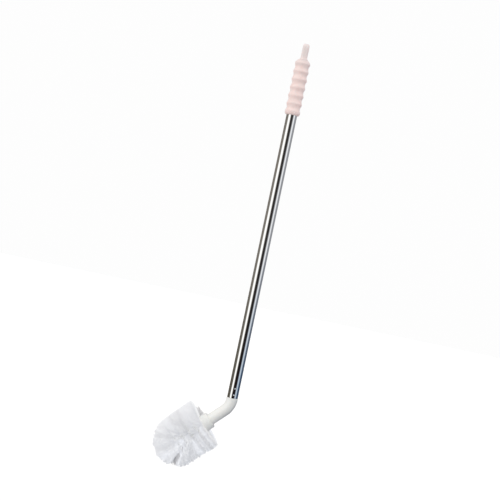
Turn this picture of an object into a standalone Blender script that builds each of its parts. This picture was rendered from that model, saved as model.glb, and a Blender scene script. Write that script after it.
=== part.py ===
"""Long-handled toilet brush.

A polished steel tube carries a soft ribbed grip with a hanging tab at its upper end. Crimps in the
tube's lower end hold a moulded elbow, and the elbow's plug holds a round brush head, which pulls
off to be replaced. Units are metres and +Z is up along the handle. The origin is the centre of the
hanging eye, and the brush head leans from the handle's axis towards -X.
"""

import math

import bmesh
import bpy
from mathutils import Matrix, Vector

# Clearances
TOUCH_GAP = 0.0003  # between two pieces that touch
SOCKET_END_GAP = 0.0008  # beyond the end of the elbow's plug
COLLAR_GAP = 0.0004  # the thin ring of shadow between the elbow's arm and the collar

# Handle tube
TUBE_OD = 0.016
TUBE_WALL = 0.0005
TUBE_SHOWN = 0.4277  # from the grip down to the elbow

# Crimps, which are punched through the tube's wall into the elbow's spigot
CRIMP_COUNT = 2
CRIMP_FIRST = 0.0051  # above the tube's lower end
CRIMP_STEP = 0.0096
CRIMP_RADIUS = 0.0015
CRIMP_DEPTH = 0.0008
CRIMP_TURN = math.radians(-80)  # about the tube, from +X

# Grip
GRIP_SLEEVE = 0.0838  # ribbed length, with its shoulder
GRIP_WALL = 0.0017  # at the bottom of a groove
GRIP_CROWN = 0.0118  # solid rubber above the tube's end
RIB_COUNT = 7
RIB_HEIGHT = 0.0015
FIRST_RIB = 0.0067  # crest, below the shoulder's top
LAST_RIB = 0.0045  # crest, above the sleeve's end
SHOULDER_RADIUS = 0.0060  # at its top, where the tab stands
LIP_INSET = 0.0019  # how far the lower lip curves in

# Hanging tab, an upright tongue with a round top
TAB_THICKNESS = 0.0098
TAB_WIDTH = 0.0160
TAB_HEIGHT = 0.0237
TAB_ROUND = 0.0034  # along its rim
TAB_ROOT = 0.0060  # sunk in the crown
EYE_DIAMETER = 0.0068
EYE_CHAMFER = 0.0005

# Elbow
ELBOW_PROUD = 0.0004  # of its skin beyond the tube's
BEND_ANGLE = math.radians(45)
BEND_RADIUS = 0.0270  # of the centre line
NECK_LENGTH = 0.0015  # straight, under the tube
ARM_LENGTH = 0.0248  # straight, up to the collar
ARM_SEATED = 0.0017  # further, inside the collar's mouth
SPIGOT_LENGTH = 0.0220
PLUG_DIAMETER = 0.0120
PLUG_LENGTH = 0.0240
END_CHAMFER = 0.0008
EDGE_BREAK = 0.0002

# Brush core
COLLAR_WALL = 0.0035
COLLAR_LENGTH = 0.0098  # up to the back of the bristles
COLLAR_CHAMFER = 0.0006
SOCKET_WALL = 0.0030  # between the socket and the tufts' holes
HOLE_DEPTH = 0.0042

# Bristles: a barrel with a round nose
HEAD_DIAMETER = 0.0800
BARREL_LENGTH = 0.0462
BARREL_RINGS = 4
BARREL_TUFTS = 9  # in each ring
NOSE_TUFTS = (9, 6, 4)  # in each ring, from the barrel to the tip
TIP_ANGLE = math.radians(15)  # half the spread of the tuft on the axis
ROOT_SPREAD = 0.0120  # between the barrel rings' holes
FIRST_ROOT = 0.0031  # first ring's holes, ahead of the collar
ROOT_DIAMETER = 0.0030
ROOT_SHOWS = 0.0006  # how far a tuft runs straight above its hole
TIP_GAP = 0.0010  # between neighbouring tufts' ends
TIP_SQUARENESS = 0.6  # 1 gives tufts with oval ends, 0 with square ones

# Facets
TUBE_FACETS = 28  # besides those of the crimps
ROUND_FACETS = 28
CORE_FACETS = 36
TUFT_FACETS = 10
RIB_STEPS = 6
BEND_STEPS = 7
CURVE_STEPS = 4
TAB_STEPS = 12

# Heights and radii that follow from the sizes above
EYE_DROP = TAB_WIDTH / 2
SHOULDER_TOP = EYE_DROP - TAB_HEIGHT
GRIP_END = SHOULDER_TOP - GRIP_SLEEVE
TUBE_END = GRIP_END - TUBE_SHOWN
TUBE_LENGTH = TUBE_SHOWN + GRIP_SLEEVE - GRIP_CROWN
TUBE_RADIUS = TUBE_OD / 2
TUBE_BORE = TUBE_RADIUS - TUBE_WALL
GRIP_BORE = TUBE_RADIUS + TOUCH_GAP
GROOVE_RADIUS = GRIP_BORE + GRIP_WALL
ELBOW_RADIUS = TUBE_RADIUS + ELBOW_PROUD
SPIGOT_RADIUS = TUBE_BORE - TOUCH_GAP
BEND_START = TOUCH_GAP + NECK_LENGTH
BEND_END = BEND_START + BEND_RADIUS * BEND_ANGLE
COLLAR_BACK = BEND_END + ARM_LENGTH
ARM_END = COLLAR_BACK + ARM_SEATED
PLUG_RADIUS = PLUG_DIAMETER / 2
MOUTH_RADIUS = ELBOW_RADIUS + COLLAR_GAP
COLLAR_RADIUS = MOUTH_RADIUS + COLLAR_WALL
SOCKET_RADIUS = PLUG_RADIUS + TOUCH_GAP
CORE_RADIUS = SOCKET_RADIUS + SOCKET_WALL + HOLE_DEPTH
HEAD_RADIUS = HEAD_DIAMETER / 2
NOSE_CENTRE = COLLAR_LENGTH + BARREL_LENGTH
ROOT_RADIUS = ROOT_DIAMETER / 2
HOLE_RADIUS = ROOT_RADIUS + TOUCH_GAP

SHARP_ANGLE = math.radians(40)
MERGE_DISTANCE = 1e-6


def clear_scene():
    for existing in list(bpy.data.objects):
        bpy.data.objects.remove(existing)


def make_material(name, colour, roughness, metallic=0.0):
    material = bpy.data.materials.new(name)
    material.use_nodes = True
    shader = material.node_tree.nodes["Principled BSDF"]
    shader.inputs["Base Color"].default_value = (*colour, 1.0)
    shader.inputs["Roughness"].default_value = roughness
    shader.inputs["Metallic"].default_value = metallic
    return material


def finish_mesh(bm, name, material):
    """Turn a bmesh into a smooth-shaded mesh whose faces point outwards."""
    bmesh.ops.recalc_face_normals(bm, faces=bm.faces)
    mesh = bpy.data.meshes.new(name)
    bm.to_mesh(mesh)
    bm.free()
    mesh.materials.append(material)
    mesh.shade_smooth()
    mesh.set_sharp_from_angle(angle=SHARP_ANGLE)
    return mesh


def add_object(name, mesh, parent=None):
    piece = bpy.data.objects.new(name, mesh)
    bpy.context.collection.objects.link(piece)
    piece.parent = parent
    return piece


def add_tool(name, mesh, parent=None):
    """Add a shape that only joins or cuts another one."""
    tool = add_object(name, mesh, parent)
    tool.hide_render = True
    tool.display_type = "WIRE"
    return tool


def add_boolean(piece, tool, operation):
    modifier = piece.modifiers.new(tool.name, "BOOLEAN")
    modifier.object = tool
    modifier.operation = operation
    modifier.solver = "EXACT"


def turned(profile, facets, closed=False):
    """Spin (radius, height) points about Z; a profile that isn't closed ends on the axis."""
    bm = bmesh.new()
    corners = [bm.verts.new((radius, 0, height)) for radius, height in profile]
    edges = [bm.edges.new(pair) for pair in zip(corners, corners[1:])]
    if closed:
        edges.append(bm.edges.new((corners[-1], corners[0])))
    bmesh.ops.spin(
        bm,
        geom=corners + edges,
        axis=(0, 0, 1),
        cent=(0, 0, 0),
        angle=math.tau,
        steps=facets,
        use_merge=True,
    )
    bmesh.ops.remove_doubles(bm, verts=bm.verts, dist=MERGE_DISTANCE)
    return bm


def lofted(rings, looped=False):
    """Skin rings of points in order, closing the skin on itself or with a cap at each end."""
    bm = bmesh.new()
    loops = [[bm.verts.new(point) for point in ring] for ring in rings]
    pairs = list(zip(loops, loops[1:]))
    if looped:
        pairs.append((loops[-1], loops[0]))
    for lower, upper in pairs:
        for i in range(len(lower)):
            bm.faces.new((lower[i - 1], lower[i], upper[i], upper[i - 1]))
    if not looped:
        bm.faces.new(loops[0])
        bm.faces.new(loops[-1])
    return bm


def quarter_round(radius, height, inset, drop):
    """Points from a side at this radius and height, curving in by inset over a drop."""
    steps = [math.radians(90) * i / CURVE_STEPS for i in range(CURVE_STEPS + 1)]
    return [(radius - inset * (1 - math.cos(a)), height - drop * math.sin(a)) for a in steps]


# Tube and elbow share one set of columns, closer together at the crimps


def crimp_heights():
    return [CRIMP_FIRST + CRIMP_STEP * i for i in range(CRIMP_COUNT)]


def tube_columns():
    """Angles about the tube: four narrow facets across the crimps, then even ones round the rest."""
    half = CRIMP_RADIUS / TUBE_RADIUS
    narrow = [CRIMP_TURN + half * share for share in (-1, -0.5, 0, 0.5)]
    step = (math.tau - 2 * half) / TUBE_FACETS
    return narrow + [CRIMP_TURN + half + step * i for i in range(TUBE_FACETS)]


def crimp_rows():
    """Heights above the tube's lower end at which the crimps need a row of points."""
    return [h + CRIMP_RADIUS * share for h in crimp_heights() for share in (-1, -0.5, 0, 0.5, 1)]


def crimp_depth(angle, height):
    """How far the crimps push the wall in at a place on the tube."""
    turn = math.remainder(angle - CRIMP_TURN, math.tau)
    depth = 0
    for centre in crimp_heights():
        distance = math.hypot(turn * TUBE_RADIUS, height - centre)
        if distance < CRIMP_RADIUS:
            depth = CRIMP_DEPTH * (1 + math.cos(math.pi * distance / CRIMP_RADIUS)) / 2
    return depth


def tube_ring(radius, height):
    """A ring of the tube's wall at a height above its lower end, with the crimps pressed in."""
    points = []
    for angle in tube_columns():
        r = radius - crimp_depth(angle, height)
        points.append(Vector((r * math.cos(angle), r * math.sin(angle), height)))
    return points


def make_handle_tube(material):
    heights = [0, *crimp_rows(), TUBE_LENGTH]
    outer = [tube_ring(TUBE_RADIUS, h) for h in heights]
    inner = [tube_ring(TUBE_BORE, h) for h in reversed(heights)]
    mesh = finish_mesh(lofted(outer + inner, looped=True), "handle_tube", material)
    tube = add_object("handle_tube", mesh)
    tube.location.z = TUBE_END
    return tube


# Grip


def grip_profile():
    """Outline of the sleeve: crown, shoulder, ribs, lower lip and the bore for the tube."""
    crest = GROOVE_RADIUS + RIB_HEIGHT
    pitch = (GRIP_SLEEVE - FIRST_RIB - LAST_RIB) / (RIB_COUNT - 1)
    first_crest = SHOULDER_TOP - FIRST_RIB
    last_crest = GRIP_END + LAST_RIB
    shoulder_edge = crest - RIB_HEIGHT / 4
    outline = [(0, SHOULDER_TOP), (SHOULDER_RADIUS, SHOULDER_TOP)]
    outline.append((shoulder_edge, first_crest + FIRST_RIB / 5))
    for i in range((RIB_COUNT - 1) * RIB_STEPS):
        wave = (1 + math.cos(math.tau * i / RIB_STEPS)) / 2
        outline.append((GROOVE_RADIUS + RIB_HEIGHT * wave, first_crest - pitch * i / RIB_STEPS))
    outline += quarter_round(crest, last_crest, LIP_INSET, LAST_RIB)
    outline += [(GRIP_BORE, GRIP_END)]
    bore_end = GRIP_END + GRIP_SLEEVE - GRIP_CROWN + TOUCH_GAP
    return outline + [(GRIP_BORE, bore_end), (0, bore_end)]


def make_tab(material):
    """Tongue with a half-round top about the eye, its rim rounded."""
    half = TAB_WIDTH / 2
    root = SHOULDER_TOP - TAB_ROOT
    angles = [math.pi * i / TAB_STEPS for i in range(TAB_STEPS + 1)]
    outline = [(half * math.cos(a), half * math.sin(a)) for a in angles]
    outline += [(-half, root), (half, root)]
    bm = bmesh.new()
    face = bm.faces.new([bm.verts.new((-TAB_THICKNESS / 2, y, z)) for y, z in outline])
    extruded = bmesh.ops.extrude_face_region(bm, geom=[face])["geom"]
    far_side = [item for item in extruded if isinstance(item, bmesh.types.BMVert)]
    bmesh.ops.translate(bm, verts=far_side, vec=(TAB_THICKNESS, 0, 0))
    rim = [edge for edge in bm.edges if edge.verts[0].co.x == edge.verts[1].co.x]
    bmesh.ops.bevel(
        bm,
        geom=rim,
        offset=TAB_ROUND,
        segments=CURVE_STEPS,
        profile=0.5,
        affect="EDGES",
        material=-1,
    )
    return add_tool("tab_join", finish_mesh(bm, "tab_join", material))


def make_eye(material):
    """Cutter for the hanging eye, flared at both of the tab's faces."""
    r = EYE_DIAMETER / 2
    face = TAB_THICKNESS / 2
    wide = r + 2 * EYE_CHAMFER
    side = [(wide, face + EYE_CHAMFER), (r, face - EYE_CHAMFER)]
    mirrored = [(radius, -height) for radius, height in reversed(side)]
    profile = [(0, face + EYE_CHAMFER), *side, *mirrored, (0, -face - EYE_CHAMFER)]
    cutter = add_tool("eye_cut", finish_mesh(turned(profile, ROUND_FACETS), "eye_cut", material))
    cutter.rotation_euler.y = math.radians(90)
    return cutter


def make_grip(material):
    mesh = finish_mesh(turned(grip_profile(), ROUND_FACETS), "grip", material)
    grip = add_object("grip", mesh)
    add_boolean(grip, make_tab(material), "UNION")
    add_boolean(grip, make_eye(material), "DIFFERENCE")
    return grip


# Elbow


def elbow_place(run):
    """Position and direction of the elbow's centre line, run metres beyond the tube's end."""
    bend = min(max(run - BEND_START, 0) / BEND_RADIUS, BEND_ANGLE)
    before = min(run, BEND_START)
    after = max(run - BEND_END, 0)
    x = -BEND_RADIUS * (1 - math.cos(bend)) - after * math.sin(bend)
    z = TUBE_END - before - BEND_RADIUS * math.sin(bend) - after * math.cos(bend)
    return Vector((x, 0, z)), bend


def elbow_ring(radius, run):
    """A ring square to the elbow's centre line; the spigot's rings keep clear of the crimps."""
    centre, bend = elbow_place(run)
    across = Vector((math.cos(bend), 0, -math.sin(bend)))
    points = []
    for angle in tube_columns():
        r = radius - crimp_depth(angle, -run)
        points.append(centre + r * (math.cos(angle) * across + math.sin(angle) * Vector((0, 1, 0))))
    return points


def make_elbow(material):
    spigot = [(SPIGOT_RADIUS - END_CHAMFER, -SPIGOT_LENGTH)]
    spigot.append((SPIGOT_RADIUS, -SPIGOT_LENGTH + END_CHAMFER))
    spigot += [(SPIGOT_RADIUS, -height) for height in reversed(crimp_rows())]
    spigot.append((SPIGOT_RADIUS, TOUCH_GAP))
    body = [(ELBOW_RADIUS - EDGE_BREAK, TOUCH_GAP), (ELBOW_RADIUS, TOUCH_GAP + EDGE_BREAK)]
    for i in range(BEND_STEPS + 1):
        body.append((ELBOW_RADIUS, BEND_START + (BEND_END - BEND_START) * i / BEND_STEPS))
    body += [(ELBOW_RADIUS, ARM_END - EDGE_BREAK), (ELBOW_RADIUS - EDGE_BREAK, ARM_END)]
    plug_end = ARM_END + PLUG_LENGTH
    plug = [(PLUG_RADIUS, ARM_END), (PLUG_RADIUS, plug_end - END_CHAMFER)]
    plug.append((PLUG_RADIUS - END_CHAMFER, plug_end))
    rings = [elbow_ring(radius, run) for radius, run in spigot + body + plug]
    return add_object("elbow", finish_mesh(lofted(rings), "elbow", material))


# Brush head, modelled along its own axis: Z runs from the collar's back face to the nose


def make_head_axis():
    """Empty at the centre of the collar's back face, its Z along the head and the elbow's arm."""
    axis = add_object("head_axis", None)
    axis.location, bend = elbow_place(COLLAR_BACK)
    axis.rotation_euler.y = math.pi + bend
    return axis


def meridian(radius, run):
    """Point, outward direction and forward direction on a barrel and round nose of this radius.

    run is the distance ahead of the collar on the barrel, and beyond the barrel's end the
    angle over the nose times the head's radius.
    """
    if run < BARREL_LENGTH:
        return Vector((radius, 0, COLLAR_LENGTH + run)), Vector((1, 0, 0)), Vector((0, 0, 1))
    over = (run - BARREL_LENGTH) / HEAD_RADIUS
    outward = Vector((math.cos(over), 0, math.sin(over)))
    forward = Vector((-math.sin(over), 0, math.cos(over)))
    return Vector((0, 0, NOSE_CENTRE)) + radius * outward, outward, forward


def tuft_rings():
    """Each ring's name, tuft count, root run, and the runs between which its tips spread."""
    pitch = BARREL_LENGTH / BARREL_RINGS
    rings = []
    for i in range(BARREL_RINGS):
        root = FIRST_ROOT + ROOT_SPREAD * i
        rings.append((f"tuft_barrel_{i + 1}", BARREL_TUFTS, root, pitch * i, pitch * (i + 1)))
    band = HEAD_RADIUS * (math.radians(90) - TIP_ANGLE) / len(NOSE_TUFTS)
    for i, count in enumerate(NOSE_TUFTS):
        start = BARREL_LENGTH + band * i
        rings.append((f"tuft_nose_{i + 1}", count, start + band / 2, start, start + band))
    return rings


def ring_turns(index, count):
    """Angles of a ring's tufts about the head; every other ring is turned by half a step."""
    return [math.tau * (i + index % 2 / 2) / count for i in range(count)]


def root_frame(run):
    """Matrix whose origin is on the core at a tuft's hole and whose Z points out of it."""
    point, outward, forward = meridian(CORE_RADIUS, run)
    side = outward.cross(forward)
    return Matrix.Translation(point) @ Matrix((forward, side, outward)).transposed().to_4x4()


def root_circle(frame, height):
    turns = [math.tau * i / TUFT_FACETS for i in range(TUFT_FACETS)]
    return [
        frame @ Vector((ROOT_RADIUS * math.cos(t), ROOT_RADIUS * math.sin(t), height)) for t in turns
    ]


def squared(value):
    """Push a sine or cosine towards 1, which turns an oval into a rounded rectangle."""
    return math.copysign(abs(value) ** TIP_SQUARENESS, value)


def tip_outline(start, end, count):
    """Points round a tuft's end, on the head's envelope, clear of the neighbouring tufts."""
    middle = (start + end) / 2
    reach = (end - start - TIP_GAP) / 2
    points = []
    for i in range(TUFT_FACETS):
        turn = math.tau * i / TUFT_FACETS
        point, _, _ = meridian(HEAD_RADIUS, middle + reach * squared(math.cos(turn)))
        half = math.pi / count - TIP_GAP / 2 / point.x
        points.append(Matrix.Rotation(-half * squared(math.sin(turn)), 3, "Z") @ point)
    return points


def tuft_mesh(name, frame, outline, tip, material):
    """Straight root in its hole, then a flare to the outline and a low dome."""
    low = -HOLE_DEPTH + TOUCH_GAP
    bm = lofted([root_circle(frame, low), root_circle(frame, ROOT_SHOWS), outline])
    bm.faces.ensure_lookup_table()
    dome = bmesh.ops.poke(bm, faces=[bm.faces[-1]])["verts"][0]
    dome.co = tip
    return finish_mesh(bm, name, material)


def add_hole(bm, frame):
    """Add one blind hole's cylinder to the cutter."""
    rise = ROOT_SHOWS
    middle = Matrix.Translation((0, 0, (rise - HOLE_DEPTH) / 2))
    bmesh.ops.create_cone(
        bm,
        cap_ends=True,
        segments=TUFT_FACETS,
        radius1=HOLE_RADIUS,
        radius2=HOLE_RADIUS,
        depth=rise + HOLE_DEPTH,
        matrix=frame @ middle,
    )


def core_profile():
    """Outline of the core: socket, collar with its mouth, bristle carrier and round nose."""
    socket_end = ARM_SEATED + PLUG_LENGTH + SOCKET_END_GAP
    mouth_floor = ARM_SEATED + TOUCH_GAP
    outline = [(0, socket_end), (SOCKET_RADIUS, socket_end), (SOCKET_RADIUS, mouth_floor)]
    outline += [(MOUTH_RADIUS, mouth_floor), (MOUTH_RADIUS, 0)]
    outline += [(COLLAR_RADIUS - COLLAR_CHAMFER, 0), (COLLAR_RADIUS, COLLAR_CHAMFER)]
    outline += [(COLLAR_RADIUS, COLLAR_LENGTH), (CORE_RADIUS, COLLAR_LENGTH)]
    nose = [math.radians(90) * i / (2 * CURVE_STEPS) for i in range(2 * CURVE_STEPS)]
    outline += [(CORE_RADIUS * math.cos(a), NOSE_CENTRE + CORE_RADIUS * math.sin(a)) for a in nose]
    return outline + [(0, NOSE_CENTRE + CORE_RADIUS)]


def make_brush_core(axis, frames, material):
    bm = bmesh.new()
    for frame in frames:
        add_hole(bm, frame)
    holes = add_tool("tuft_holes_cut", finish_mesh(bm, "tuft_holes_cut", material), axis)
    mesh = finish_mesh(turned(core_profile(), CORE_FACETS), "brush_core", material)
    core = add_object("brush_core", mesh, axis)
    add_boolean(core, holes, "DIFFERENCE")
    return core


def make_tufts(axis, material):
    """One shared mesh for each ring, placed round the head; returns every hole's frame."""
    frames = []
    for index, (name, count, root, start, end) in enumerate(tuft_rings()):
        frame = root_frame(root)
        tip, _, _ = meridian(HEAD_RADIUS, (start + end) / 2)
        mesh = tuft_mesh(name, frame, tip_outline(start, end, count), tip, material)
        for number, turn in enumerate(ring_turns(index, count), 1):
            tuft = add_object(f"{name}_{number:02d}", mesh, axis)
            tuft.rotation_euler.z = turn
            frames.append(Matrix.Rotation(turn, 4, "Z") @ frame)
    frames.append(make_tip_tuft(axis, material))
    return frames


def make_tip_tuft(axis, material):
    """The round tuft on the head's axis; returns its hole's frame."""
    frame = Matrix.Translation((0, 0, NOSE_CENTRE + CORE_RADIUS))
    spread = TIP_ANGLE - TIP_GAP / 2 / HEAD_RADIUS
    rim = HEAD_RADIUS * math.sin(spread)
    height = NOSE_CENTRE + HEAD_RADIUS * math.cos(spread)
    turns = [math.tau * i / TUFT_FACETS for i in range(TUFT_FACETS)]
    outline = [Vector((rim * math.cos(t), rim * math.sin(t), height)) for t in turns]
    apex = Vector((0, 0, NOSE_CENTRE + HEAD_RADIUS))
    add_object("tuft_tip", tuft_mesh("tuft_tip", frame, outline, apex, material), axis)
    return frame


def main():
    clear_scene()
    steel = make_material("polished_steel", (0.78, 0.78, 0.77), 0.10, 1.0)
    rubber = make_material("pink_soft_plastic", (0.83, 0.67, 0.64), 0.55)
    plastic = make_material("white_moulding", (0.84, 0.84, 0.81), 0.35)
    bristle = make_material("white_bristle", (0.80, 0.81, 0.84), 0.60)
    make_handle_tube(steel)
    make_grip(rubber)
    make_elbow(plastic)
    axis = make_head_axis()
    frames = make_tufts(axis, bristle)
    make_brush_core(axis, frames, plastic)


main()
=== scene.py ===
import math
import random

import bmesh
import bpy
from mathutils import Matrix, Vector


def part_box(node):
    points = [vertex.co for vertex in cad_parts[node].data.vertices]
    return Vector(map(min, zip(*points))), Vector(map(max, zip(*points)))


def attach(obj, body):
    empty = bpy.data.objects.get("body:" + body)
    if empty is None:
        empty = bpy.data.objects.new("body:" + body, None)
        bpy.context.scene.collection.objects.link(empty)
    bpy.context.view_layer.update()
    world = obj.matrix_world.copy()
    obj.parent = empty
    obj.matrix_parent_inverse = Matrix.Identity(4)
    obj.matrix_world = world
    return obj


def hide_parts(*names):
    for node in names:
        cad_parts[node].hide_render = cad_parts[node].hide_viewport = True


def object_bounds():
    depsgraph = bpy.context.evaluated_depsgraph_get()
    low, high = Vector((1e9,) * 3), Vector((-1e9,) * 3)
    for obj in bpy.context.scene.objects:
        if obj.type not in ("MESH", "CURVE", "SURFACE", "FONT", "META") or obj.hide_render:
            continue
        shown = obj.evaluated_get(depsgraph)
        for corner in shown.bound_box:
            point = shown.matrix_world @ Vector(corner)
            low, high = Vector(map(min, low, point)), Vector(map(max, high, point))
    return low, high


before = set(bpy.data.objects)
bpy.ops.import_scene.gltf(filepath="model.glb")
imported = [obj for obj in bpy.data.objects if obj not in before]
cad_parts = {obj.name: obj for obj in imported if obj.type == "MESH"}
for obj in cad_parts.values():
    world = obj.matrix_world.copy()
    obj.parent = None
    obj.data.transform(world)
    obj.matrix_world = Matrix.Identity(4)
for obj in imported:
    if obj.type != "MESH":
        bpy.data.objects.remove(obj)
cad_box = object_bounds()


# Handle tube
# A 16 mm stainless steel tube with a thin wall, drawn, polished and cut to length. Two punch marks
# near its lower end hold the elbow's spigot, and its upper end is hidden in the grip.

TUBE_RADIUS = 0.0080
TUBE_WALL = 0.0005
TUBE_EDGE = 0.00012  # rounding left by deburring
TUBE_EDGE_STEPS = 3
TUBE_COLUMNS = 144
CRIMP_HEIGHTS = (0.0051, 0.0147)  # above the tube's lower end
CRIMP_RADIUS = 0.0015
CRIMP_DEPTH = 0.0008
CRIMP_ROWS = 14  # rows of faces across each punch mark
CRIMP_TURN = math.radians(-80)  # about the tube, from +X
MERGE_DISTANCE = 1e-7
SHARP_ANGLE = math.radians(50)
TUBE_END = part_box("handle_tube")[0].z
TUBE_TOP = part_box("handle_tube")[1].z


def arc(centre, radius, start, end, steps):
    """Points of an arc in a (radius, height) outline, from a start to an end angle in degrees."""
    turns = [math.radians(start + (end - start) * i / steps) for i in range(steps + 1)]
    return [(centre[0] + radius * math.cos(t), centre[1] + radius * math.sin(t)) for t in turns]


def turned(outline, columns, closed=False):
    """Spin (radius, height) points about Z; an outline that isn't closed ends on the axis."""
    bm = bmesh.new()
    corners = [bm.verts.new((radius, 0, height)) for radius, height in outline]
    edges = [bm.edges.new(pair) for pair in zip(corners, corners[1:])]
    if closed:
        edges.append(bm.edges.new((corners[-1], corners[0])))
    bmesh.ops.spin(
        bm,
        geom=corners + edges,
        axis=(0, 0, 1),
        cent=(0, 0, 0),
        angle=math.tau,
        steps=columns,
        use_merge=True,
    )
    bmesh.ops.remove_doubles(bm, verts=bm.verts, dist=MERGE_DISTANCE)
    return bm


def crimp_depth(place):
    """How far the punch marks push the wall in at a place on the tube."""
    turn = math.remainder(math.atan2(place.y, place.x) - CRIMP_TURN, math.tau)
    depth = 0
    for height in CRIMP_HEIGHTS:
        distance = math.hypot(turn * TUBE_RADIUS, place.z - TUBE_END - height)
        if distance < CRIMP_RADIUS:
            depth = CRIMP_DEPTH * (1 + math.cos(math.pi * distance / CRIMP_RADIUS)) / 2
    return depth


def press_crimps(bm):
    """Push the punch marks into whatever lies in the tube's lower end."""
    for vert in bm.verts:
        if vert.co.z < TUBE_END + CRIMP_HEIGHTS[-1] + CRIMP_RADIUS and vert.co.xy.length > 0:
            vert.co.xy -= vert.co.xy.normalized() * crimp_depth(vert.co)


def crimp_rows():
    """Heights above the tube's end of the rows that the punch marks bend."""
    return [
        height + CRIMP_RADIUS * (2 * i / CRIMP_ROWS - 1)
        for height in CRIMP_HEIGHTS
        for i in range(CRIMP_ROWS + 1)
    ]


def finished(bm, name, material):
    """Turn a bmesh into a smooth-shaded object whose faces point outwards."""
    bmesh.ops.recalc_face_normals(bm, faces=bm.faces)
    mesh = bpy.data.meshes.new(name)
    bm.to_mesh(mesh)
    bm.free()
    mesh.materials.append(material)
    mesh.shade_smooth()
    mesh.set_sharp_from_angle(angle=SHARP_ANGLE)
    piece = bpy.data.objects.new(name, mesh)
    bpy.context.scene.collection.objects.link(piece)
    return piece


def new_node(tree, kind, inputs, **settings):
    """Add a shader node; each input, by name or number, takes a value or another node's output."""
    made = tree.nodes.new("ShaderNode" + kind)
    for setting, value in settings.items():
        setattr(made, setting, value)
    for socket, value in inputs.items():
        if isinstance(value, bpy.types.NodeSocket):
            tree.links.new(value, made.inputs[socket])
        else:
            made.inputs[socket].default_value = value
    return made


def new_group(name, inputs, outputs):
    """Start a node group with (name, kind, default) inputs and (name, kind) outputs."""
    group = bpy.data.node_groups.new(name, "ShaderNodeTree")
    for label, kind, default in inputs:
        socket = group.interface.new_socket(label, in_out="INPUT", socket_type="NodeSocket" + kind)
        socket.default_value = default
    for label, kind in outputs:
        group.interface.new_socket(label, in_out="OUTPUT", socket_type="NodeSocket" + kind)
    return group, group.nodes.new("NodeGroupInput"), group.nodes.new("NodeGroupOutput")


def place_group(tree, group, inputs):
    """Put a node group in a material with its own values."""
    return new_node(tree, "Group", inputs, node_tree=group)


def new_material(name, **constants):
    """Start a material; constants are set on its Principled shader's own sockets."""
    material = bpy.data.materials.new(name)
    material.use_nodes = True
    shader = material.node_tree.nodes["Principled BSDF"]
    for socket, value in constants.items():
        shader.inputs[socket.replace("_", " ")].default_value = value
    return material, material.node_tree, shader


def make_handling_marks():
    """Smears and fine rubs that hands and cloths leave: Mask is 0 on clean skin and 1 in a smear."""
    group, given, result = new_group(
        "handling_marks",
        [("Smear Scale", "Float", 60.0), ("Rub Scale", "Float", 900.0), ("Stretch", "Float", 0.2)],
        [("Mask", "Float"), ("Rub Height", "Float")],
    )
    object_place = new_node(group, "TexCoord", {}).outputs["Object"]
    squeeze = new_node(group, "CombineXYZ", {"X": 1.0, "Y": 1.0, "Z": given.outputs["Stretch"]})
    along = new_node(
        group, "VectorMath", {0: object_place, 1: squeeze.outputs[0]}, operation="MULTIPLY"
    )
    smear = new_node(
        group,
        "TexNoise",
        {
            "Vector": along.outputs[0],
            "Scale": given.outputs["Smear Scale"],
            "Detail": 4.0,
            "Distortion": 0.6,
        },
    )
    rub = new_node(
        group,
        "TexNoise",
        {"Vector": along.outputs[0], "Scale": given.outputs["Rub Scale"], "Detail": 3.0},
    )
    edge = new_node(group, "MapRange", {"Value": smear.outputs[0], "From Min": 0.48, "From Max": 0.70})
    broken = new_node(group, "MapRange", {"Value": rub.outputs[0], "From Min": 0.30, "From Max": 0.75})
    mask = new_node(
        group, "Math", {0: edge.outputs[0], 1: broken.outputs[0]}, operation="MULTIPLY", use_clamp=True
    )
    group.links.new(mask.outputs[0], result.inputs["Mask"])
    group.links.new(rub.outputs[0], result.inputs["Rub Height"])
    return group


def make_polished_steel():
    material, tree, shader = new_material("polished_steel", Metallic=1.0)
    marks = place_group(
        tree, handling_marks, {"Smear Scale": 55.0, "Rub Scale": 1400.0, "Stretch": 0.12}
    )
    colour = new_node(
        tree,
        "Mix",
        {0: marks.outputs["Mask"], 6: (0.80, 0.80, 0.79, 1.0), 7: (0.70, 0.70, 0.70, 1.0)},
        data_type="RGBA",
    )
    gloss = new_node(tree, "MapRange", {"Value": marks.outputs["Mask"], "To Min": 0.05, "To Max": 0.16})
    bump = new_node(
        tree,
        "Bump",
        {"Height": marks.outputs["Rub Height"], "Strength": 0.06, "Distance": 0.00003},
    )
    tree.links.new(colour.outputs[2], shader.inputs["Base Color"])
    tree.links.new(gloss.outputs[0], shader.inputs["Roughness"])
    tree.links.new(bump.outputs[0], shader.inputs["Normal"])
    return material


bore_radius = TUBE_RADIUS - TUBE_WALL
tube_rows = [TUBE_END + height for height in crimp_rows()]
tube_outline = arc((TUBE_RADIUS - TUBE_EDGE, TUBE_END + TUBE_EDGE), TUBE_EDGE, -90, 0, TUBE_EDGE_STEPS)
tube_outline += [(TUBE_RADIUS, height) for height in tube_rows]
tube_outline += arc((TUBE_RADIUS - TUBE_EDGE, TUBE_TOP - TUBE_EDGE), TUBE_EDGE, 0, 90, TUBE_EDGE_STEPS)
tube_outline += arc((bore_radius + TUBE_EDGE, TUBE_TOP - TUBE_EDGE), TUBE_EDGE, 90, 180, TUBE_EDGE_STEPS)
tube_outline += [(bore_radius, height) for height in reversed(tube_rows)]
tube_outline += arc((bore_radius + TUBE_EDGE, TUBE_END + TUBE_EDGE), TUBE_EDGE, 180, 270, TUBE_EDGE_STEPS)
tube_bm = turned(tube_outline, TUBE_COLUMNS, closed=True)
press_crimps(tube_bm)
handling_marks = make_handling_marks()
tube = finished(tube_bm, "polished_tube", make_polished_steel())
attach(tube, "handle")
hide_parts("handle_tube")


# Grip
# A soft, slightly see-through plastic sleeve with seven rings, injection moulded in one piece with
# an upright hanging tab, and pushed over the tube. The tab's eye has rounded rims.

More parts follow.
